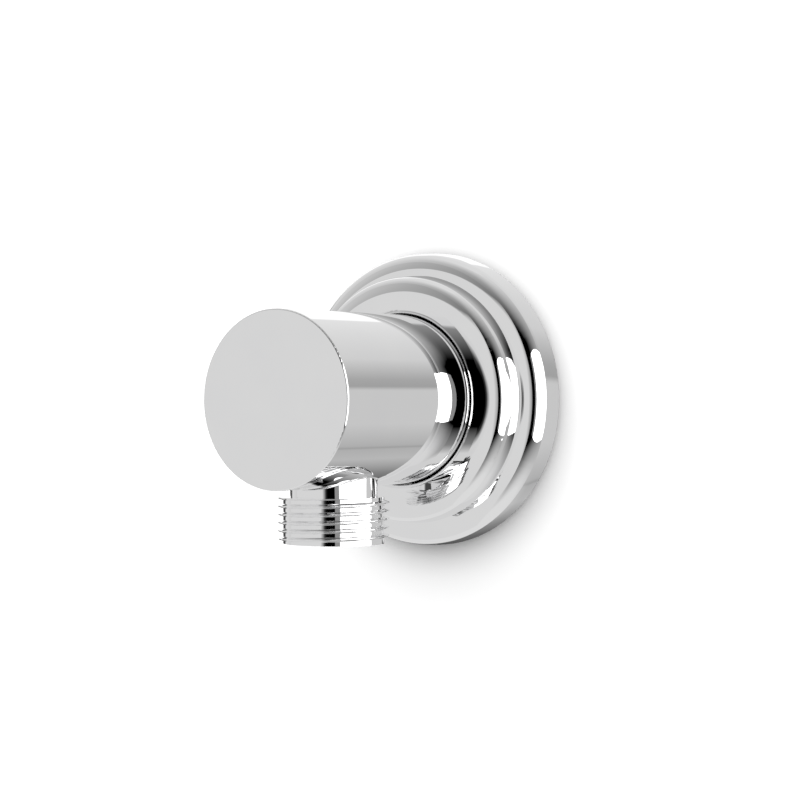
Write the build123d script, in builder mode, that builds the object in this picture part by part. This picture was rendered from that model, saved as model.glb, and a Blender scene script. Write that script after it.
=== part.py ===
"""Wall outlet elbow for a hand shower hose.

The wall is the plane y = 0 and the barrel stands out from it along -Y. The outlet points down, along -Z.
Depths are measured from the wall towards the front, so a depth of d lies at y = -d. Millimetres.
"""

from build123d import *
from math import cos, radians, sin, tan
import os

# Barrel
BARREL_DIAMETER = 33.2
BARREL_PROJECTION = 52.0
BARREL_BACK = 3.0
FRONT_EDGE_RADIUS = 0.35

# Outlet under the barrel, threaded for a half inch hose
PIPE_THREAD_DIAMETER = 20.955
THREAD_CORE_DIAMETER = 19.0
OUTLET_REACH = 33.7
OUTLET_DROP = 10.4
NECK_DIAMETER = 16.4
NECK_FILLET = 0.3
COLLAR_LENGTH = 8.75
COLLAR_LAND = 0.75
LEAD_IN_LENGTH = 0.9
OUTLET_BORE_DIAMETER = 11.5
OUTLET_MOUTH_CHAMFER = 0.5

# Stepped rose on the wall. Tilts, crowns and leans are degrees back from the front.
# Flats and shoulders are shares of their step's breadth.
FLANGE_DIAMETER = 58.2
FLANGE_DEPTH = 12.65
FLANGE_WALL = 1.4
HOLLOW_CHAMFER = 2.0
LIP_RADIUS = 0.85
FACE_FLAT = 0.25
FACE_CROWN = 24.0
STEP_SHOULDER = 0.33
STEP_SIDE_LEAN = 79.0
STEP_FOOT_LEAN = 85.5
LEDGE_DEPTH = 7.25
LEDGE_BREADTH = 4.65
LEDGE_TILT = 5.5
LEDGE_FLAT = 0.13
LEDGE_CROWN = 24.0
RIM_SHOULDER = 0.63
RIM_SIDE_LEAN = 84.0
RIM_FOOT_LEAN = 89.0
COLLAR_WALL = 1.3
COLLAR_GAP = 3.5
FLANGE_CLEARANCE = 0.14

# Seal that holds the rose on the barrel
FLANGE_RING_SECTION = 1.9
FLANGE_RING_DEPTH = 8.0
RING_EASE = 0.02
GROOVE_ROOM = 0.5

# Nipple into the wall, and its seal
WALL_THREAD_LENGTH = 14.0
NIPPLE_CHAMFER = 0.8
RELIEF_DIAMETER = 18.4
RELIEF_START = 0.5
RELIEF_END = 2.5
HEX_SOCKET = 12.0
THREAD_CLEARANCE = 0.03
THREADED_BORE_LENGTH = 11.5
GASKET_THICKNESS = 1.5
GASKET_BORE_DIAMETER = 14.0
GASKET_CLEARANCE = 0.15

# Check valve cartridge
CARTRIDGE_BORE_DIAMETER = 15.2
CARTRIDGE_CLEARANCE = 0.1
CARTRIDGE_FLANGE_DIAMETER = 17.6
CARTRIDGE_FLANGE_THICKNESS = 1.5
VALVE_ORIFICE_DIAMETER = 9.2
VALVE_SEAT_DEPTH = 4.7
VALVE_CHAMBER_DIAMETER = 12.8
CARTRIDGE_RING_SECTION = 1.5
CARTRIDGE_RING_DEPTH = 3.0
POPPET_DIAMETER = 10.6
POPPET_HEAD_THICKNESS = 1.3
POPPET_NOSE_DIAMETER = 5.9
POPPET_NOSE_LENGTH = 1.4
POPPET_TRAVEL = 2.5
SEAL_THICKNESS = 1.0
SEAL_GAP = 0.03
STEM_DIAMETER = 2.9
STEM_CLEARANCE = 0.05
STEM_OVERHANG = 0.4
GUIDE_THICKNESS = 1.5
GUIDE_RING_WALL = 0.95
GUIDE_HUB_DIAMETER = 7.2
GUIDE_SPOKE_WIDTH = 1.6
GUIDE_SPOKES = 3
GUIDE_CLEARANCE = 0.05
SPRING_MEAN_DIAMETER = 5.8
SPRING_WIRE = 0.4
SPRING_TURNS = 3.75
DRILL_POINT_ANGLE = 118.0

# Radii and depths that follow from the sizes above
barrel_radius = BARREL_DIAMETER / 2
thread_radius = PIPE_THREAD_DIAMETER / 2
thread_core_radius = THREAD_CORE_DIAMETER / 2
neck_radius = NECK_DIAMETER / 2
outlet_bore_radius = OUTLET_BORE_DIAMETER / 2
outlet_end = barrel_radius + OUTLET_DROP
collar_top = outlet_end - COLLAR_LENGTH
flange_bore_radius = barrel_radius + FLANGE_CLEARANCE
flange_groove_radius = flange_bore_radius - FLANGE_RING_SECTION
flange_groove_width = FLANGE_RING_SECTION + GROOVE_ROOM
threaded_bore_radius = thread_radius + THREAD_CLEARANCE
seat_shoulder_depth = BARREL_BACK + THREADED_BORE_LENGTH
nipple_end_depth = seat_shoulder_depth - GASKET_THICKNESS
cartridge_bore_radius = CARTRIDGE_BORE_DIAMETER / 2
cartridge_radius = cartridge_bore_radius - CARTRIDGE_CLEARANCE
cartridge_flange_radius = CARTRIDGE_FLANGE_DIAMETER / 2
cartridge_flange_depth = seat_shoulder_depth + CARTRIDGE_FLANGE_THICKNESS
cartridge_ring_depth = seat_shoulder_depth + CARTRIDGE_RING_DEPTH
cartridge_groove_radius = cartridge_bore_radius - CARTRIDGE_RING_SECTION
cartridge_groove_width = CARTRIDGE_RING_SECTION + GROOVE_ROOM
valve_seat = seat_shoulder_depth + VALVE_SEAT_DEPTH
seal_back = valve_seat + SEAL_GAP
head_back = seal_back + SEAL_THICKNESS
head_front = head_back + POPPET_HEAD_THICKNESS
spring_closed_height = (SPRING_TURNS + 1) * SPRING_WIRE
guide_back = head_front + POPPET_TRAVEL + spring_closed_height + 2 * SEAL_GAP
cartridge_end_depth = guide_back + GUIDE_THICKNESS
chamber_radius = VALVE_CHAMBER_DIAMETER / 2
bore_end_depth = OUTLET_REACH + cartridge_bore_radius
bore_tip_depth = bore_end_depth + cartridge_bore_radius / tan(radians(DRILL_POINT_ANGLE / 2))

outlet_plane = Plane.XZ.offset(OUTLET_REACH)
outlet_axis = Axis((0, -OUTLET_REACH, 0), (0, 0, 1))

os.makedirs("parts", exist_ok=True)


def ring_section(centre_radius, depth, section):
    """Round section of a seal ring, in the half plane that is turned about the barrel's axis."""
    with BuildSketch(Plane.XY) as sketch:
        with Locations((centre_radius, -depth)):
            Circle(section / 2 - RING_EASE)
    return sketch.sketch


def rounded_step(foot, edge, tilt, flat, crown, shoulder, side, base):
    """Outline of one step of the rose from its foot: bowed side, round shoulder, gentle crown, straight ledge.

    The ledge ends at the edge. The angles hold along the ledge, where the crown ends, where the side starts and
    at the foot. The side and the crown get the radii that fill what is left of the step's breadth and height.
    """
    sin_tilt, sin_crown, sin_side, sin_base = (sin(radians(angle)) for angle in (tilt, crown, side, base))
    cos_tilt, cos_crown, cos_side, cos_base = (cos(radians(angle)) for angle in (tilt, crown, side, base))
    whole = foot[0] - edge[0]
    flat_breadth = flat * whole
    shoulder_radius = shoulder * whole
    breadth = whole - flat_breadth - shoulder_radius * (sin_side - sin_crown)
    drop = flat_breadth * tan(radians(tilt))
    height = foot[1] - edge[1] - drop - shoulder_radius * (cos_crown - cos_side)
    crown_share = (sin_crown - sin_tilt, cos_tilt - cos_crown)
    side_share = (sin_base - sin_side, cos_side - cos_base)
    balance = crown_share[1] * side_share[0] - crown_share[0] * side_share[1]
    crown_radius = (height * side_share[0] - breadth * side_share[1]) / balance
    side_radius = (breadth * crown_share[1] - height * crown_share[0]) / balance
    side_arc = JernArc(foot, (-cos_base, -sin_base), side_radius, side - base)
    shoulder_arc = JernArc(side_arc @ 1, side_arc % 1, shoulder_radius, crown - side)
    crown_arc = JernArc(shoulder_arc @ 1, shoulder_arc % 1, crown_radius, tilt - crown)
    return Line(crown_arc @ 1, edge)


# Elbow body: barrel, neck and threaded collar in one forging, with the waterway bored into it
with BuildPart() as elbow_body:
    with BuildSketch(Plane.XY):
        with Locations((0, -BARREL_BACK)):
            Rectangle(barrel_radius, BARREL_PROJECTION - BARREL_BACK, align=(Align.MIN, Align.MAX))
    revolve(axis=Axis.Y)
    front_rim = elbow_body.edges().filter_by(GeomType.CIRCLE).sort_by(Axis.Y)[0]
    fillet(front_rim, FRONT_EDGE_RADIUS)

    with BuildSketch(Plane((0, -OUTLET_REACH, 0))):
        Circle(neck_radius)
    extrude(amount=-collar_top)
    saddle = elbow_body.edges(Select.LAST).filter_by(lambda edge: edge.geom_type == GeomType.BSPLINE)
    fillet(saddle, NECK_FILLET)

    with BuildSketch(outlet_plane):
        with BuildLine():
            Polyline(
                (0, -collar_top),
                (thread_core_radius, -collar_top),
                (thread_core_radius, -collar_top - COLLAR_LAND),
                (thread_radius, -collar_top - COLLAR_LAND),
                (thread_radius, -outlet_end + LEAD_IN_LENGTH),
                (thread_core_radius, -outlet_end + LEAD_IN_LENGTH),
                (thread_core_radius, -outlet_end),
                (0, -outlet_end),
                close=True,
            )
        make_face()
    revolve(axis=outlet_axis)

    with BuildSketch(Plane.XY):
        with BuildLine():
            Polyline(
                (0, -BARREL_BACK),
                (threaded_bore_radius, -BARREL_BACK),
                (threaded_bore_radius, -seat_shoulder_depth),
                (cartridge_flange_radius + CARTRIDGE_CLEARANCE, -seat_shoulder_depth),
                (cartridge_flange_radius + CARTRIDGE_CLEARANCE, -cartridge_flange_depth),
                (cartridge_bore_radius, -cartridge_flange_depth),
                (cartridge_bore_radius, -bore_end_depth),
                (0, -bore_tip_depth),
                close=True,
            )
        make_face()
    revolve(axis=Axis.Y, mode=Mode.SUBTRACT)

    with BuildSketch(Plane((0, -OUTLET_REACH, -outlet_end))):
        Circle(outlet_bore_radius)
    extrude(amount=outlet_end, mode=Mode.SUBTRACT)
    outlet_mouth = elbow_body.edges().filter_by(GeomType.CIRCLE).group_by(Axis.Z)[0].sort_by(SortBy.RADIUS)[0]
    chamfer(outlet_mouth, OUTLET_MOUTH_CHAMFER)

    with BuildSketch(Plane.XY):
        with Locations((flange_groove_radius, -FLANGE_RING_DEPTH)):
            Rectangle(barrel_radius, flange_groove_width, align=(Align.MIN, Align.CENTER))
    revolve(axis=Axis.Y, mode=Mode.SUBTRACT)

# Rose: two rounded steps turned from one blank, hollow at the back, with a lip round the barrel
with BuildPart() as wall_flange:
    with BuildSketch(Plane.XY):
        with BuildLine():
            rim_foot = (FLANGE_DIAMETER / 2, 0)
            step_foot = (FLANGE_DIAMETER / 2 - LEDGE_BREADTH, -LEDGE_DEPTH)
            face_edge = (flange_bore_radius + LIP_RADIUS, -FLANGE_DEPTH)
            rounded_step(
                rim_foot,
                step_foot,
                LEDGE_TILT,
                LEDGE_FLAT,
                LEDGE_CROWN,
                RIM_SHOULDER,
                RIM_SIDE_LEAN,
                RIM_FOOT_LEAN,
            )
            face = rounded_step(
                step_foot,
                face_edge,
                0,
                FACE_FLAT,
                FACE_CROWN,
                STEP_SHOULDER,
                STEP_SIDE_LEAN,
                STEP_FOOT_LEAN,
            )
            lip = JernArc(face @ 1, face % 1, LIP_RADIUS, -90)
            step_inside = step_foot[0] - FLANGE_WALL
            rim_inside = rim_foot[0] - FLANGE_WALL
            face_inside = -FLANGE_DEPTH + FLANGE_WALL
            ledge_inside = -LEDGE_DEPTH + FLANGE_WALL
            Polyline(
                lip @ 1,
                (flange_bore_radius, -COLLAR_GAP),
                (flange_bore_radius + COLLAR_WALL, -COLLAR_GAP),
                (flange_bore_radius + COLLAR_WALL, face_inside),
                (step_inside - HOLLOW_CHAMFER, face_inside),
                (step_inside, face_inside + HOLLOW_CHAMFER),
                (step_inside, ledge_inside),
                (rim_inside - HOLLOW_CHAMFER, ledge_inside),
                (rim_inside, ledge_inside + HOLLOW_CHAMFER),
                (rim_inside, 0),
                rim_foot,
            )
        make_face()
    revolve(axis=Axis.Y)

# Seal ring between the barrel's groove and the rose's collar
with BuildPart() as flange_o_ring:
    ring_centre = flange_bore_radius - FLANGE_RING_SECTION / 2
    add(ring_section(ring_centre, FLANGE_RING_DEPTH, FLANGE_RING_SECTION))
    revolve(axis=Axis.Y)

# Inlet nipple: thread into the wall, relief, thread into the barrel, hexagon socket right through
with BuildPart() as inlet_nipple:
    with BuildSketch(Plane.XY):
        with BuildLine():
            Polyline(
                (0, WALL_THREAD_LENGTH),
                (thread_radius - NIPPLE_CHAMFER, WALL_THREAD_LENGTH),
                (thread_radius, WALL_THREAD_LENGTH - NIPPLE_CHAMFER),
                (thread_radius, -RELIEF_START),
                (RELIEF_DIAMETER / 2, -RELIEF_START),
                (RELIEF_DIAMETER / 2, -RELIEF_END),
                (thread_radius, -RELIEF_END),
                (thread_radius, -nipple_end_depth),
                (0, -nipple_end_depth),
                close=True,
            )
        make_face()
    revolve(axis=Axis.Y)
    with BuildSketch(Plane.XZ.offset(nipple_end_depth)):
        RegularPolygon(HEX_SOCKET / 2, 6, major_radius=False)
    extrude(amount=-(nipple_end_depth + WALL_THREAD_LENGTH), mode=Mode.SUBTRACT)

# Flat gasket between the nipple's end and the barrel's shoulder
with BuildPart() as inlet_gasket:
    with BuildSketch(Plane.XZ.offset(nipple_end_depth)):
        Circle(thread_radius - GASKET_CLEARANCE)
        Circle(GASKET_BORE_DIAMETER / 2, mode=Mode.SUBTRACT)
    extrude(amount=GASKET_THICKNESS)

# Cartridge housing with its flange, ring groove, valve seat and chamber
with BuildPart() as check_valve_housing:
    with BuildSketch(Plane.XY):
        with BuildLine():
            Polyline(
                (VALVE_ORIFICE_DIAMETER / 2, -seat_shoulder_depth),
                (cartridge_flange_radius, -seat_shoulder_depth),
                (cartridge_flange_radius, -cartridge_flange_depth),
                (cartridge_radius, -cartridge_flange_depth),
                (cartridge_radius, -cartridge_end_depth),
                (chamber_radius, -cartridge_end_depth),
                (chamber_radius, -valve_seat),
                (VALVE_ORIFICE_DIAMETER / 2, -valve_seat),
                close=True,
            )
        make_face()
        with Locations((cartridge_groove_radius, -cartridge_ring_depth)):
            Rectangle(
                cartridge_radius,
                cartridge_groove_width,
                align=(Align.MIN, Align.CENTER),
                mode=Mode.SUBTRACT,
            )
    revolve(axis=Axis.Y)

# Seal ring round the cartridge
with BuildPart() as check_valve_o_ring:
    ring_centre = cartridge_bore_radius - CARTRIDGE_RING_SECTION / 2
    add(ring_section(ring_centre, cartridge_ring_depth, CARTRIDGE_RING_SECTION))
    revolve(axis=Axis.Y)

# Stem guide: ring, spokes and hub clipped into the cartridge's front end
with BuildPart() as check_valve_guide:
    guide_radius = chamber_radius - GUIDE_CLEARANCE
    with BuildSketch(Plane.XZ.offset(guide_back)):
        Circle(guide_radius)
        Circle(guide_radius - GUIDE_RING_WALL, mode=Mode.SUBTRACT)
        with PolarLocations(0, GUIDE_SPOKES):
            Rectangle(guide_radius - GUIDE_RING_WALL / 2, GUIDE_SPOKE_WIDTH, align=(Align.MIN, Align.CENTER))
        Circle(GUIDE_HUB_DIAMETER / 2)
        Circle(STEM_DIAMETER / 2 + STEM_CLEARANCE, mode=Mode.SUBTRACT)
    extrude(amount=GUIDE_THICKNESS)

# Poppet: nose through the seal, head and guided stem
with BuildPart() as check_valve_poppet:
    stem_end_depth = cartridge_end_depth + STEM_OVERHANG
    with BuildSketch(Plane.XY):
        with BuildLine():
            Polyline(
                (0, -head_back + POPPET_NOSE_LENGTH),
                (POPPET_NOSE_DIAMETER / 2, -head_back + POPPET_NOSE_LENGTH),
                (POPPET_NOSE_DIAMETER / 2, -head_back),
                (POPPET_DIAMETER / 2, -head_back),
                (POPPET_DIAMETER / 2, -head_front),
                (STEM_DIAMETER / 2, -head_front),
                (STEM_DIAMETER / 2, -stem_end_depth),
                (0, -stem_end_depth),
                close=True,
            )
        make_face()
    revolve(axis=Axis.Y)

# Rubber ring on the poppet that closes on the seat
with BuildPart() as poppet_seal:
    with BuildSketch(Plane.XZ.offset(seal_back)):
        Circle(POPPET_DIAMETER / 2)
        Circle(POPPET_NOSE_DIAMETER / 2, mode=Mode.SUBTRACT)
    extrude(amount=SEAL_THICKNESS)

# Closing spring between the poppet's head and the guide's hub
with BuildPart() as check_valve_spring:
    spring_start = head_front + SPRING_WIRE / 2 + SEAL_GAP
    spring_height = guide_back - head_front - SPRING_WIRE - 2 * SEAL_GAP
    with BuildLine() as coil:
        Helix(
            pitch=spring_height / SPRING_TURNS,
            height=spring_height,
            radius=SPRING_MEAN_DIAMETER / 2,
            center=(0, -spring_start, 0),
            direction=(0, -1, 0),
        )
    with BuildSketch(coil.line ^ 0):
        Circle(SPRING_WIRE / 2)
    sweep(path=coil.line)

pieces = {
    "elbow_body": elbow_body,
    "wall_flange": wall_flange,
    "flange_o_ring": flange_o_ring,
    "inlet_nipple": inlet_nipple,
    "inlet_gasket": inlet_gasket,
    "check_valve_housing": check_valve_housing,
    "check_valve_o_ring": check_valve_o_ring,
    "check_valve_guide": check_valve_guide,
    "check_valve_poppet": check_valve_poppet,
    "poppet_seal": poppet_seal,
    "check_valve_spring": check_valve_spring,
}
for name, piece in pieces.items():
    piece.part.label = name
    export_step(piece.part, f"parts/{name}.step")
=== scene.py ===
"""Looks of the wall outlet elbow: its finishes, its real threads and its coil spring."""

from math import atan2, ceil, cos, floor, hypot, pi, radians, sin

import bpy
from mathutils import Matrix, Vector


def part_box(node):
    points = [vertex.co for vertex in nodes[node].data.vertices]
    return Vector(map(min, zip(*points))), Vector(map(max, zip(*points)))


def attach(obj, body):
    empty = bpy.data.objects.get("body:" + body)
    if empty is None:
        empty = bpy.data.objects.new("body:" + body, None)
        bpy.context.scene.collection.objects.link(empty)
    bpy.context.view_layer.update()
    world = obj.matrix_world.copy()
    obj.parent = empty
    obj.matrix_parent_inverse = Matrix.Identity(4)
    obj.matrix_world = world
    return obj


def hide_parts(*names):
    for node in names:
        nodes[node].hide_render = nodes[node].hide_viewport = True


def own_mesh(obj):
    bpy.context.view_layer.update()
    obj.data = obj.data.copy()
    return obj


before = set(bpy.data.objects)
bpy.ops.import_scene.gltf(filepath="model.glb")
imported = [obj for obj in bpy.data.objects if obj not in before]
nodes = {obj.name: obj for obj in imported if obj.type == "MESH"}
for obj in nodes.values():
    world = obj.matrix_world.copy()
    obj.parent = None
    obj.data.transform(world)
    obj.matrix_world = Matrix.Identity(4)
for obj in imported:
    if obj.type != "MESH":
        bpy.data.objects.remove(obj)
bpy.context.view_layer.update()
scene = bpy.context.scene
scene.view_settings.view_transform = "Standard"
scene.cycles.blur_glossy = 0.0
MM = 0.001

# Camera at the photograph's viewing angle
CAMERA_AZIMUTH = radians(34.73)
CAMERA_ELEVATION = radians(0.15)
CAMERA_PLACE = Vector((251.5, -374.7, 1.02)) * MM
CAMERA_LENS = 101.4
CAMERA_SENSOR = 36.0
CAMERA_NEAR, CAMERA_FAR = 0.01, 20.0


def make_camera():
    data = bpy.data.cameras.new("camera")
    data.lens = CAMERA_LENS
    data.sensor_width = CAMERA_SENSOR
    data.clip_start = CAMERA_NEAR
    data.clip_end = CAMERA_FAR
    camera = bpy.data.objects.new("camera", data)
    scene.collection.objects.link(camera)
    flat = cos(CAMERA_ELEVATION)
    back = Vector((sin(CAMERA_AZIMUTH) * flat, -cos(CAMERA_AZIMUTH) * flat, sin(CAMERA_ELEVATION)))
    camera.location = CAMERA_PLACE
    camera.rotation_mode = "QUATERNION"
    camera.rotation_quaternion = (-back).to_track_quat("-Z", "Y")
    scene.camera = camera


class Nodes:
    """Short way to add and link shader nodes in one tree."""

    def __init__(self, tree):
        self.tree = tree
        tree.nodes.clear()

    def add(self, kind, **values):
        node = self.tree.nodes.new(kind)
        for key, value in values.items():
            setattr(node, key, value)
        return node

    def link(self, source, target):
        self.tree.links.new(source, target)

    def feed(self, sockets, values):
        for socket, value in zip(sockets, values):
            if isinstance(value, (int, float)):
                socket.default_value = value
            else:
                self.link(value, socket)

    def math(self, operation, *values):
        node = self.add("ShaderNodeMath", operation=operation)
        self.feed(node.inputs, values)
        return node.outputs[0]

    def dot(self, vector, direction):
        node = self.add("ShaderNodeVectorMath", operation="DOT_PRODUCT")
        self.link(vector, node.inputs[0])
        node.inputs[1].default_value = direction
        return node.outputs["Value"]

    def power(self, base, exponent):
        return self.math("POWER", base, exponent)

    def mix(self, factor, a, b):
        node = self.add("ShaderNodeMix", data_type="FLOAT", clamp_factor=True)
        self.feed((node.inputs[0], node.inputs[2], node.inputs[3]), (factor, a, b))
        return node.outputs[0]

    def span(self, value, low, high):
        """0 at low and beyond, 1 at high and beyond, straight between them."""
        node = self.add("ShaderNodeMapRange", clamp=True)
        self.feed(node.inputs[:3], (value, low, high))
        return node.outputs[0]

    def stops(self, value, stops):
        """Colour ramp through (position, colour) stops, with positions from 0 to 1."""
        node = self.add("ShaderNodeValToRGB")
        node.color_ramp.interpolation = "LINEAR"
        elements = node.color_ramp.elements
        elements[0].position = stops[0][0]
        elements[1].position = stops[-1][0]
        for position, _ in stops[1:-1]:
            elements.new(position)
        for element, (_, colour) in zip(elements, stops):
            element.color = (*colour, 1.0)
        self.link(value, node.inputs[0])
        return node.outputs[0]

    def ramp(self, value, levels):
        """Piecewise straight curve through (position, level) points."""
        low, high = levels[0][0], levels[-1][0]
        places = [((position - low) / (high - low), (level,) * 3) for position, level in levels]
        return self.stops(self.span(value, low, high), places)


make_camera()

# Studio that the metal mirrors. Angles are degrees round the vertical from the front, positive to the
# right, or degrees of height. A panel's heights and widths are shares of its distance.
# Dark screen right of the front, which lightens away from its middle
DARK_LEFT, DARK_RIGHT, DARK_TOP, DARK_BOTTOM = 20.0, 45.0, 30.0, -20.0
DARK_FADE_LEFT, DARK_FADE_RIGHT, DARK_FADE_UP, DARK_FADE_DOWN = 98.0, 140.0, 56.0, 30.0
DARK_LEVELS = ((0.0, 0.0), (0.1, 0.067), (0.4, 0.29), (0.8, 0.54), (1.0, 0.64), (1.3, 0.735), (1.6, 0.745))
# Pale panel in front, with a rounded corner at its upper right
FRONT_FACING, FRONT_TOP, FRONT_LIGHT = radians(11.3), 0.65, 0.70
FRONT_LEFT, FRONT_RIGHT, FRONT_CORNER = -25.0, 15.5, 3.4
FRONT_SHARP, FRONT_SOFT = 0.95, 0.714
FRONT_NEAREST = 0.01
# Dark gap behind on the left
BEHIND_EDGE, BEHIND_TOP, BEHIND_LIGHT = (-104.0, -112.0), (22.0, 12.0), 0.06
# White panel on the right, with a grey strip beside it towards the front
PANEL_FACING, PANEL_HALF_WIDTH, PANEL_TOP, PANEL_BOTTOM = radians(90.7), 0.84, 0.60, -0.50
PANEL_LIGHT = 2.2
STRIP_LEFT, STRIP_LIGHT = 39.1, 0.275
# Tones along the wall, in degrees round its normal from the right upwards
WALL_LEVELS = (
    (-180, 0.05),
    (-130, 0.14),
    (-112, 0.24),
    (-84, 0.50),
    (-68, 0.45),
    (-66, 0.36),
    (-63, 0.45),
    (-32, 0.596),
    (12, 0.596),
    (17, 0.37),
    (26, 0.40),
    (54, 0.65),
    (124, 0.80),
    (126, 1.07),
    (180, 1.07),
)
WALL_EDGE, WALL_LEAN = (cos(radians(57)), cos(radians(50))), (0.0, 1.0, 0.25)
# Soft light on everything that isn't polished, mostly from above and in front
SOFT_LIGHT, SOFT_LEAN, SOFT_FROM = 0.2, 1.7, (0.0, -0.5, 0.6)


def make_world():
    world = bpy.data.worlds.new("studio")
    scene.world = world
    world.use_nodes = True
    n = Nodes(world.node_tree)
    direction = n.add("ShaderNodeTexCoord").outputs["Generated"]
    split = n.add("ShaderNodeSeparateXYZ")
    n.link(direction, split.inputs[0])
    x, y, z = split.outputs
    turn = n.math("DEGREES", n.math("ARCTAN2", x, n.math("MULTIPLY", y, -1.0)))
    rise = n.math("DEGREES", n.math("ARCSINE", z))

    # Dark screen
    left = n.math("DIVIDE", n.math("SUBTRACT", DARK_LEFT, turn), DARK_FADE_LEFT)
    right = n.math("DIVIDE", n.math("SUBTRACT", turn, DARK_RIGHT), DARK_FADE_RIGHT)
    aside = n.math("MAXIMUM", n.math("MAXIMUM", left, right), 0.0)
    above = n.math("DIVIDE", n.math("MAXIMUM", n.math("SUBTRACT", rise, DARK_TOP), 0.0), DARK_FADE_UP)
    below = n.math("DIVIDE", n.math("MAXIMUM", n.math("SUBTRACT", DARK_BOTTOM, rise), 0.0), DARK_FADE_DOWN)
    upright = n.math("ADD", above, below)
    squares = n.math("ADD", n.math("MULTIPLY", aside, aside), n.math("MULTIPLY", upright, upright))
    level = n.ramp(n.math("SQRT", squares), DARK_LEVELS)

    # Front panel
    ahead = n.dot(direction, (sin(FRONT_FACING), -cos(FRONT_FACING), 0.0))
    high = n.math("DIVIDE", n.math("DIVIDE", z, n.math("MAXIMUM", ahead, FRONT_NEAREST)), FRONT_TOP)
    wide = n.span(turn, FRONT_LEFT, FRONT_RIGHT)
    corner = n.math("ADD", n.power(n.math("MAXIMUM", high, 0.0), FRONT_CORNER), n.power(wide, FRONT_CORNER))
    edge = n.power(corner, 1.0 / FRONT_CORNER)
    inner = n.mix(wide, FRONT_SHARP, FRONT_SOFT)
    front = n.math("DIVIDE", n.math("SUBTRACT", 1.0, edge), n.math("SUBTRACT", 1.0, inner))
    front = n.math("MULTIPLY", front, n.math("GREATER_THAN", ahead, 0.0))
    level = n.mix(front, level, FRONT_LIGHT)

    # Gap behind
    behind = n.math("MULTIPLY", n.span(turn, *BEHIND_EDGE), n.span(n.math("ABSOLUTE", rise), *BEHIND_TOP))
    level = n.mix(behind, level, BEHIND_LIGHT)

    # Wall
    spin = n.math("DEGREES", n.math("ARCTAN2", z, x))
    wall = n.ramp(spin, WALL_LEVELS)
    level = n.mix(n.span(n.dot(direction, WALL_LEAN), *WALL_EDGE), level, wall)

    # Side panel and its strip
    towards = n.dot(direction, (sin(PANEL_FACING), -cos(PANEL_FACING), 0.0))
    across = n.dot(direction, (cos(PANEL_FACING), sin(PANEL_FACING), 0.0))
    share = n.math("DIVIDE", across, towards)
    height = n.math("DIVIDE", z, towards)
    under_top = n.math("LESS_THAN", height, PANEL_TOP)
    over_bottom = n.math("GREATER_THAN", height, PANEL_BOTTOM)
    tall = n.math("MULTIPLY", under_top, over_bottom)
    tall = n.math("MULTIPLY", tall, n.math("GREATER_THAN", towards, 0.0))
    strip = n.math("MULTIPLY", n.math("GREATER_THAN", turn, STRIP_LEFT), n.math("LESS_THAN", share, 0.0))
    level = n.mix(n.math("MULTIPLY", tall, strip), level, STRIP_LIGHT)
    panel = n.math("LESS_THAN", n.math("ABSOLUTE", share), PANEL_HALF_WIDTH)
    level = n.mix(n.math("MULTIPLY", tall, panel), level, PANEL_LIGHT)

    # The studio shows only in mirrors that the camera sees, and matte surfaces take the soft light
    lean = n.math("MAXIMUM", n.dot(direction, Vector(SOFT_FROM).normalized()), 0.0)
    soft = n.math("ADD", n.math("MULTIPLY", lean, SOFT_LEAN), SOFT_LIGHT)
    path = n.add("ShaderNodeLightPath")
    mirrored = n.math("MAXIMUM", path.outputs["Is Glossy Ray"], path.outputs["Is Transmission Ray"])
    first = n.math("LESS_THAN", path.outputs["Diffuse Depth"], 0.5)
    seen = n.mix(mirrored, soft, n.math("MULTIPLY", level, first))
    strength = n.mix(path.outputs["Is Camera Ray"], seen, 1.0)
    background = n.add("ShaderNodeBackground")
    background.inputs["Color"].default_value = (1.0, 1.0, 1.0, 1.0)
    n.link(strength, background.inputs["Strength"])
    output = n.add("ShaderNodeOutputWorld")
    n.link(background.outputs[0], output.inputs["Surface"])


make_world()

# White wall behind the rose, clear from behind. It takes the object's shadow from the soft light, and near
# the object its white is also darkened as a painted contact shadow.
WALL_HALF = 1.5
WALL_BACK = 0.05 * MM
WALL_WHITE = 1.35
WALL_CORNERS = ((-1, -1), (1, -1), (1, 1), (-1, 1))
# Reach, depth and samples of the painted contact shadow that darkens the wall's white near the object
CONTACT_REACH, PAINTED_CONTACT_SHADE, CONTACT_SAMPLES = 8 * MM, 0.6, 8


def make_wall():
    mesh = bpy.data.meshes.new("wall")
    corners = [(side * WALL_HALF, WALL_BACK, end * WALL_HALF) for side, end in WALL_CORNERS]
    mesh.from_pydata(corners, [], [(0, 1, 2, 3)])
    wall = bpy.data.objects.new("wall", mesh)
    scene.collection.objects.link(wall)
    material = bpy.data.materials.new("wall_white")
    material.use_nodes = True
    n = Nodes(material.node_tree)
    # Painted contact shadow: ambient occlusion darkens the wall's white colour near the object
    contact = n.add("ShaderNodeAmbientOcclusion", samples=CONTACT_SAMPLES)
    contact.inputs["Distance"].default_value = CONTACT_REACH
    painted_shade_white = n.mix(contact.outputs["AO"], WALL_WHITE * (1.0 - PAINTED_CONTACT_SHADE), WALL_WHITE)
    white = n.add("ShaderNodeBsdfDiffuse")
    n.link(painted_shade_white, white.inputs["Color"])
    clear = n.add("ShaderNodeBsdfTransparent")
    geometry = n.add("ShaderNodeNewGeometry")
    choose = n.add("ShaderNodeMixShader")
    n.link(geometry.outputs["Backfacing"], choose.inputs[0])
    n.link(white.outputs[0], choose.inputs[1])
    n.link(clear.outputs[0], choose.inputs[2])
    output = n.add("ShaderNodeOutputMaterial")
    n.link(choose.outputs[0], output.inputs["Surface"])
    mesh.materials.append(material)
    wall.visible_diffuse = False
    wall.visible_glossy = False
    wall.visible_transmission = False
    wall.visible_shadow = False


make_wall()

# Values of a noise where a finish reaches its low and its high end
NOISE_LOW, NOISE_HIGH = 0.3, 0.7


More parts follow.
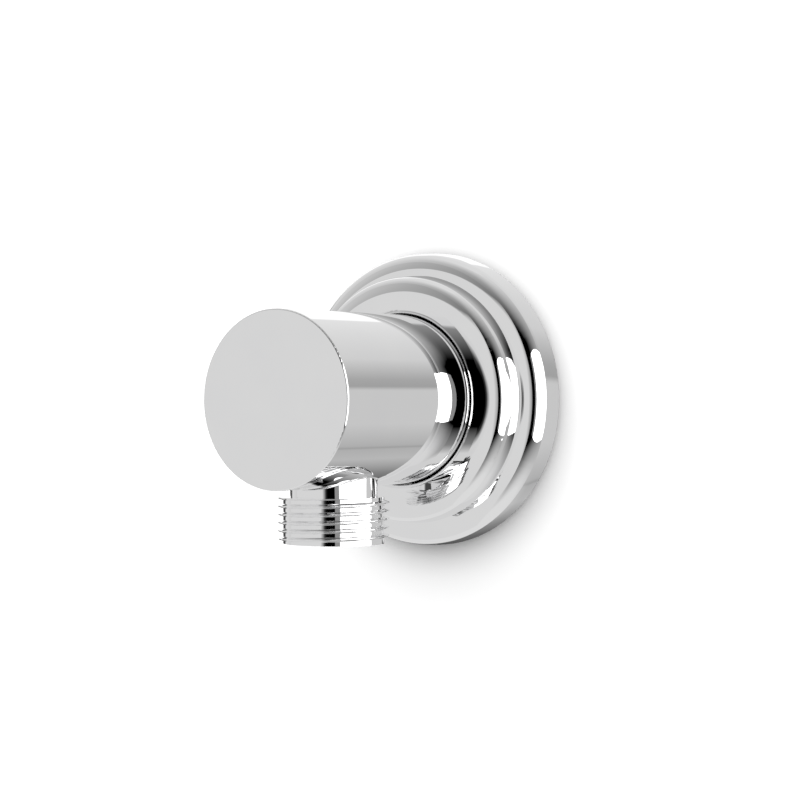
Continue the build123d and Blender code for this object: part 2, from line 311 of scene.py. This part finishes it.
class Finish:
    """One surface finish: a principled shader with colour, roughness and relief from procedural textures."""

    def __init__(self, name, metallic=0.0, specular=0.5):
        self.material = bpy.data.materials.new(name)
        self.material.use_nodes = True
        self.n = Nodes(self.material.node_tree)
        self.place = self.n.add("ShaderNodeTexCoord").outputs["Object"]
        self.bsdf = self.n.add("ShaderNodeBsdfPrincipled")
        self.bsdf.inputs["Metallic"].default_value = metallic
        self.bsdf.inputs["Specular IOR Level"].default_value = specular
        output = self.n.add("ShaderNodeOutputMaterial")
        self.n.link(self.bsdf.outputs[0], output.inputs["Surface"])

    def noise(self, size, detail, stretch=(1.0, 1.0, 1.0)):
        """Noise whose features are about size metres across, drawn out by stretch along X, Y and Z."""
        mapping = self.n.add("ShaderNodeMapping")
        mapping.inputs["Scale"].default_value = [1.0 / factor for factor in stretch]
        self.n.link(self.place, mapping.inputs["Vector"])
        node = self.n.add("ShaderNodeTexNoise")
        node.inputs["Scale"].default_value = 1.0 / size
        node.inputs["Detail"].default_value = detail
        self.n.link(mapping.outputs[0], node.inputs["Vector"])
        return node.outputs["Fac"]

    def colour(self, value, dark, light):
        tint = self.n.stops(value, ((NOISE_LOW, dark), (NOISE_HIGH, light)))
        self.n.link(tint, self.bsdf.inputs["Base Color"])

    def rough(self, value, low, high):
        level = self.n.ramp(value, ((NOISE_LOW, low), (NOISE_HIGH, high)))
        self.n.link(level, self.bsdf.inputs["Roughness"])

    def relief(self, value, depth):
        node = self.n.add("ShaderNodeBump")
        node.inputs["Strength"].default_value = 1.0
        node.inputs["Distance"].default_value = depth
        self.n.link(value, node.inputs["Height"])
        self.n.link(node.outputs[0], self.bsdf.inputs["Normal"])


def chrome_finish():
    """Mirror plate, with the faint haze that wiping leaves."""
    finish = Finish("chrome", metallic=1.0)
    haze = finish.noise(size=9 * MM, detail=4.0)
    finish.colour(haze, dark=(0.93, 0.93, 0.935), light=(0.945, 0.945, 0.945))
    finish.bsdf.inputs["Roughness"].default_value = 0.0
    return finish.material


def brass_finish():
    """Machined brass: fine turning lines round the axis, slightly uneven colour."""
    finish = Finish("brass", metallic=1.0)
    tarnish = finish.noise(size=6 * MM, detail=4.0)
    finish.colour(tarnish, dark=(0.70, 0.52, 0.24), light=(0.80, 0.63, 0.33))
    lines = finish.noise(size=0.12 * MM, detail=2.0, stretch=(400.0, 1.0, 400.0))
    finish.rough(lines, low=0.16, high=0.32)
    finish.relief(lines, depth=0.004 * MM)
    return finish.material


def rubber_finish(name, dark, light, grain):
    """Matte rubber with a fine moulded grain and a trace of bloom."""
    finish = Finish(name, specular=0.35)
    finish.colour(finish.noise(size=1.5 * MM, detail=5.0), dark, light)
    fine = finish.noise(size=grain, detail=3.0)
    finish.rough(fine, low=0.55, high=0.78)
    finish.relief(fine, depth=0.01 * MM)
    return finish.material


def plastic_finish(name, dark, light):
    """Moulded acetal: satin skin with slow flow marks."""
    finish = Finish(name)
    finish.colour(finish.noise(size=3 * MM, detail=3.0, stretch=(1.0, 4.0, 1.0)), dark, light)
    skin = finish.noise(size=0.2 * MM, detail=2.0)
    finish.rough(skin, low=0.30, high=0.45)
    finish.relief(skin, depth=0.004 * MM)
    return finish.material


def steel_finish():
    """Drawn spring wire: bright, with fine streaks."""
    finish = Finish("spring_steel", metallic=1.0)
    streaks = finish.noise(size=0.08 * MM, detail=3.0, stretch=(6.0, 1.0, 6.0))
    finish.colour(streaks, dark=(0.52, 0.53, 0.54), light=(0.68, 0.68, 0.69))
    finish.rough(streaks, low=0.18, high=0.34)
    return finish.material


chrome = chrome_finish()
seal_rubber = rubber_finish("seal_rubber", (0.018, 0.018, 0.019), (0.035, 0.035, 0.036), 0.12 * MM)
NODE_FINISHES = {
    "wall_flange": chrome,
    "flange_o_ring": seal_rubber,
    "check_valve_o_ring": seal_rubber,
    "poppet_seal": seal_rubber,
    "inlet_gasket": rubber_finish("gasket", (0.05, 0.05, 0.055), (0.11, 0.11, 0.12), 0.25 * MM),
    "check_valve_housing": plastic_finish("housing_plastic", (0.80, 0.81, 0.80), (0.88, 0.89, 0.88)),
    "check_valve_guide": plastic_finish("guide_plastic", (0.80, 0.81, 0.80), (0.88, 0.89, 0.88)),
    "check_valve_poppet": plastic_finish("poppet_plastic", (0.10, 0.19, 0.44), (0.14, 0.25, 0.54)),
}
for node_name, finish_material in NODE_FINISHES.items():
    slots = nodes[node_name].data.materials
    slots.clear()
    slots.append(finish_material)

# Points that share a cell of this grid are one point
CELLS_PER_METRE = 1e7
# How far off a ring a point may lie and still belong to it
TOUCH = 0.02 * MM


class Shell:
    """Closed mesh built face by face, with its own normals so that polished curves mirror cleanly."""

    def __init__(self):
        self.points = []
        self.index = {}
        self.faces = []
        self.normals = []

    def point(self, place):
        key = tuple(round(c * CELLS_PER_METRE) for c in place)
        if key not in self.index:
            self.index[key] = len(self.points)
            self.points.append(tuple(place))
        return self.index[key]

    def face(self, places, normals):
        corners = [self.point(place) for place in places]
        kept = [i for i in range(len(corners)) if corners[i] != corners[i - 1]]
        if len(kept) < 3:
            return
        self.faces.append([corners[i] for i in kept])
        self.normals.extend(normals[i] for i in kept)

    def flat(self, places, normal):
        self.face(places, [normal] * len(places))

    def copy_faces(self, mesh, wanted):
        """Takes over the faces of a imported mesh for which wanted(points of the face) is true."""
        for polygon in mesh.polygons:
            places = [mesh.vertices[i].co for i in polygon.vertices]
            if wanted(places):
                self.face(places, [Vector(mesh.corner_normals[i].vector) for i in polygon.loop_indices])

    def band(self, upper, lower):
        """Quads between two rings of (place, normal) with as many points each, wound outwards."""
        for column in range(len(upper)):
            after = (column + 1) % len(upper)
            corners = [upper[column], upper[after], lower[after], lower[column]]
            self.face([place for place, _ in corners], [normal for _, normal in corners])

    def zip_rings(self, outer, inner, normal):
        """Flat band of triangles between two rings of (angle, place), whatever their counts."""
        outer = sorted(outer, key=lambda item: item[0])
        inner = sorted(inner, key=lambda item: item[0])
        outer = outer + [(outer[0][0] + 2 * pi, outer[0][1])]
        inner = inner + [(inner[0][0] + 2 * pi, inner[0][1])]
        i = j = 0
        while i < len(outer) - 1 or j < len(inner) - 1:
            step_outer = j == len(inner) - 1 or (i < len(outer) - 1 and outer[i + 1][0] <= inner[j + 1][0])
            a, b = outer[i][1], inner[j][1]
            c = outer[i + 1][1] if step_outer else inner[j + 1][1]
            if (b - a).cross(c - a).dot(normal) < 0:
                a, b = b, a
            self.flat([a, b, c], normal)
            i, j = (i + 1, j) if step_outer else (i, j + 1)

    def build(self, name, material, body):
        mesh = bpy.data.meshes.new(name)
        mesh.from_pydata(self.points, [], self.faces)
        mesh.polygons.foreach_set("use_smooth", [True] * len(mesh.polygons))
        mesh.normals_split_custom_set([tuple(normal) for normal in self.normals])
        mesh.materials.append(material)
        piece = bpy.data.objects.new(name, mesh)
        scene.collection.objects.link(piece)
        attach(piece, body)
        return piece


class Spindle:
    """Places round an axis. Distances along it start at origin, and angles turn right-handed about it."""

    def __init__(self, origin, axis, first, second):
        self.origin, self.axis, self.first, self.second = map(Vector, (origin, axis, first, second))

    def outward(self, angle):
        return self.first * cos(angle) + self.second * sin(angle)

    def place(self, radius, along, angle):
        return self.origin + self.axis * along + self.outward(angle) * radius

    def polar(self, place):
        """Radius, distance along and angle of a place."""
        offset = place - self.origin
        across, up = offset.dot(self.first), offset.dot(self.second)
        return hypot(across, up), offset.dot(self.axis), atan2(up, across) % (2 * pi)

    def ring(self, shell, radius, along):
        """Points of a shell on one circle, as (angle, place), or on any radius where none is given."""
        found = []
        for place in map(Vector, shell.points):
            its_radius, its_along, angle = self.polar(place)
            if abs(its_along - along) < TOUCH and (radius is None or abs(its_radius - radius) < TOUCH):
                found.append((angle, place))
        return found


# Share of a smooth curve in a ridge's flanks, which rounds its foot and its crest
RIDGE_ROUNDING = 0.35
# Step over which the slopes of a threaded surface are measured
SLOPE_STEP = 0.01 * MM


class Thread:
    """Right-hand thread on a spindle.

    core and crest are radii, and base and top are a ridge's breadths at its foot and its crest.
    The ridge runs along the span, and the runs are the lengths over which it rises and falls at its ends.
    A cone, given by a distance along and the radius there, cuts the ridges back to a 45 degree point.
    """

    def __init__(self, spindle, core, crest, pitch, base, top, span, runs, cone=None):
        self.spindle, self.core, self.crest, self.pitch = spindle, core, crest, pitch
        self.base, self.top = base, top
        self.start, self.end = span
        self.runs = runs
        self.cone = cone

    def height(self, along, angle):
        """How far the ridge stands over the core at one place."""
        turns = (along - self.start) / self.pitch - angle / (2 * pi)
        nearest = floor(turns + 0.5)
        centre = self.start + self.pitch * (nearest + angle / (2 * pi))
        slope = (self.base / 2 - abs(along - centre)) / (self.base / 2 - self.top / 2)
        rise = min(max(slope, 0.0), 1.0)
        rise = (1 - RIDGE_ROUNDING) * rise + RIDGE_ROUNDING * rise * rise * (3 - 2 * rise)
        begun = min(max((centre - self.start) / self.runs[0], 0.0), 1.0)
        left = min(max((self.end - centre) / self.runs[1], 0.0), 1.0)
        height = (self.crest - self.core) * rise * begun * left
        if self.cone:
            height = min(height, self.cone[1] + self.cone[0] - along - self.core)
        return height

    def surface(self, along, angle):
        """Place and normal on the threaded surface."""
        step = SLOPE_STEP
        radius = self.core + self.height(along, angle)
        by_along = (self.height(along + step, angle) - self.height(along - step, angle)) / (2 * step)
        turn = step / radius
        by_turn = (self.height(along, angle + turn) - self.height(along, angle - turn)) / (2 * step)
        outward = self.spindle.outward(angle)
        around = self.spindle.outward(angle + pi / 2)
        normal = (outward - self.spindle.axis * by_along - around * by_turn).normalized()
        return self.spindle.place(radius, along, angle), normal

    def cover(self, shell, begin, end, columns, spacing):
        """Adds the threaded surface from begin to end, and returns its first and last rings."""
        rows = ceil((end - begin) / spacing)
        angles = [2 * pi * column / columns for column in range(columns)]
        grid = []
        for row in range(rows + 1):
            along = begin + (end - begin) * row / rows
            grid.append([self.surface(along, angle) for angle in angles])
        for upper, lower in zip(grid, grid[1:]):
            shell.band(upper, lower)
        return [[(angle, place) for angle, (place, _) in zip(angles, ring)] for ring in (grid[0], grid[-1])]


THREAD_CREST = 10.4775 * MM

# Elbow body with the outlet's thread cut into its collar
OUTLET_REACH = 33.7 * MM
COLLAR_TOP = -18.25 * MM
OUTLET_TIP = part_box("elbow_body")[0].z
NECK_RADIUS = 8.2 * MM
MOUTH_RADIUS = 6.25 * MM
OUTLET_CORE = 9.5 * MM
OUTLET_PITCH = 1.535 * MM
OUTLET_RIDGE, OUTLET_RIDGE_TOP = 0.84 * MM, 0.12 * MM
OUTLET_THREAD = (-1.925 * MM, 8.58 * MM)
OUTLET_RUN = OUTLET_PITCH / 2
OUTLET_COLUMNS, OUTLET_SPACING = 144, 0.065 * MM


def make_elbow():
    spindle = Spindle((0, -OUTLET_REACH, COLLAR_TOP), (0, 0, -1), (1, 0, 0), (0, -1, 0))
    shell = Shell()

    def outside_collar(places):
        return any(p.z > COLLAR_TOP + TOUCH or spindle.polar(p)[0] < MOUTH_RADIUS - TOUCH for p in places)

    shell.copy_faces(nodes["elbow_body"].data, outside_collar)
    length = COLLAR_TOP - OUTLET_TIP
    neck = spindle.ring(shell, NECK_RADIUS, 0.0)
    mouth = spindle.ring(shell, MOUTH_RADIUS, length)
    thread = Thread(
        spindle,
        core=OUTLET_CORE,
        crest=THREAD_CREST,
        pitch=OUTLET_PITCH,
        base=OUTLET_RIDGE,
        top=OUTLET_RIDGE_TOP,
        span=OUTLET_THREAD,
        runs=(OUTLET_RUN, OUTLET_RUN),
    )
    top, tip = thread.cover(shell, 0.0, length, OUTLET_COLUMNS, OUTLET_SPACING)
    shell.zip_rings(top, neck, Vector((0, 0, 1)))
    shell.zip_rings(tip, mouth, Vector((0, 0, -1)))
    piece = shell.build("elbow_shell", chrome, "elbow")
    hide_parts("elbow_body")


make_elbow()

# Inlet nipple with a standard pipe thread on both lengths
NIPPLE_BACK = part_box("inlet_nipple")[1].y
NIPPLE_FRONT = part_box("inlet_nipple")[0].y
RELIEF_START, RELIEF_END = -0.5 * MM, -2.5 * MM
RELIEF_RADIUS = 9.2 * MM
NIPPLE_CHAMFER = 0.8 * MM
PIPE_PITCH = 1.814 * MM
PIPE_DEPTH = 1.162 * MM
PIPE_CORE = THREAD_CREST - PIPE_DEPTH
PIPE_RIDGE, PIPE_RIDGE_TOP = 1.6 * MM, 0.35 * MM
PIPE_RUN = PIPE_PITCH / 2
PIPE_POINT_RUN = 0.1 * PIPE_RUN
PIPE_COLUMNS, PIPE_SPACING = 96, 0.11 * MM
SOCKET_REACH = 7.1 * MM


def make_nipple():
    spindle = Spindle((0, 0, 0), (0, 1, 0), (0, 0, 1), (1, 0, 0))
    shell = Shell()

    def in_socket(places):
        return all(spindle.polar(p)[0] < SOCKET_REACH for p in places)

    def screw(begin, end, runs, cone=None):
        thread = Thread(
            spindle,
            core=PIPE_CORE,
            crest=THREAD_CREST,
            pitch=PIPE_PITCH,
            base=PIPE_RIDGE,
            top=PIPE_RIDGE_TOP,
            span=(begin, end),
            runs=runs,
            cone=cone,
        )
        return thread.cover(shell, begin, end, PIPE_COLUMNS, PIPE_SPACING)

    shell.copy_faces(nodes["inlet_nipple"].data, in_socket)
    sockets = [spindle.ring(shell, None, along) for along in (NIPPLE_FRONT, NIPPLE_BACK)]
    point = (NIPPLE_BACK, THREAD_CREST - NIPPLE_CHAMFER)
    wall_start, wall_end = screw(RELIEF_START, NIPPLE_BACK, (PIPE_RUN, PIPE_POINT_RUN), point)
    body_start, body_end = screw(NIPPLE_FRONT, RELIEF_END, (PIPE_RUN, PIPE_RUN))
    angles = [angle for angle, _ in wall_start]
    groove = []
    for along in (RELIEF_END, RELIEF_START):
        places = [spindle.place(RELIEF_RADIUS, along, angle) for angle in angles]
        groove.append([(place, spindle.outward(angle)) for place, angle in zip(places, angles)])
    shell.band(*groove)
    rims = [[(angle, place) for angle, (place, _) in zip(angles, ring)] for ring in groove]
    forward, backward = Vector((0, -1, 0)), Vector((0, 1, 0))
    shell.zip_rings(body_end, rims[0], backward)
    shell.zip_rings(wall_start, rims[1], forward)
    shell.zip_rings(body_start, sockets[0], forward)
    shell.zip_rings(wall_end, sockets[1], backward)
    piece = shell.build("threaded_nipple", brass_finish(), "elbow")
    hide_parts("inlet_nipple")


make_nipple()

# Closing spring with closed end coils
COIL_RADIUS = 2.9 * MM
WIRE_RADIUS = 0.2 * MM
SPRING_TURNS = 3.75
SPRING_ENDS = (-21.56 * MM, -25.96 * MM)
SPRING_STEPS, WIRE_SIDES = 180, 14
# Turns in each closed end, and their pitch in wire thicknesses
CLOSED_TURN = 0.6
CLOSED_PITCH = 1.1


def coil_share(turn):
    """How far along the spring the wire is after some turns: little in the closed ends, evenly between."""
    closed = WIRE_RADIUS * 2 * CLOSED_TURN * CLOSED_PITCH
    total = SPRING_ENDS[0] - SPRING_ENDS[1] - 2 * WIRE_RADIUS
    middle = total - 2 * closed
    if turn < CLOSED_TURN:
        return closed * turn / CLOSED_TURN / total
    if turn > SPRING_TURNS - CLOSED_TURN:
        return 1 - closed * (SPRING_TURNS - turn) / CLOSED_TURN / total
    return (closed + middle * (turn - CLOSED_TURN) / (SPRING_TURNS - 2 * CLOSED_TURN)) / total


def make_spring():
    shell = Shell()
    rings = []
    axis = Vector((0, 1, 0))
    first, last = SPRING_ENDS[0] - WIRE_RADIUS, SPRING_ENDS[1] + WIRE_RADIUS
    for step in range(SPRING_STEPS + 1):
        turn = SPRING_TURNS * step / SPRING_STEPS
        angle = 2 * pi * turn
        outward = Vector((sin(angle), 0, cos(angle)))
        centre = outward * COIL_RADIUS + axis * (first + (last - first) * coil_share(turn))
        ring = []
        for side in range(WIRE_SIDES):
            around = 2 * pi * side / WIRE_SIDES
            normal = outward * cos(around) + axis * sin(around)
            ring.append((centre + normal * WIRE_RADIUS, normal))
        rings.append(ring)
    for ring, after in zip(rings, rings[1:]):
        shell.band(after, ring)
    end_angle = 2 * pi * SPRING_TURNS
    shell.flat([place for place, _ in rings[0]], Vector((-1, 0, 0)))
    shell.flat([place for place, _ in reversed(rings[-1])], Vector((cos(end_angle), 0, -sin(end_angle))))
    piece = shell.build("coil_spring", steel_finish(), "elbow")
    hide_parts("check_valve_spring")
    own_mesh(piece)


make_spring()
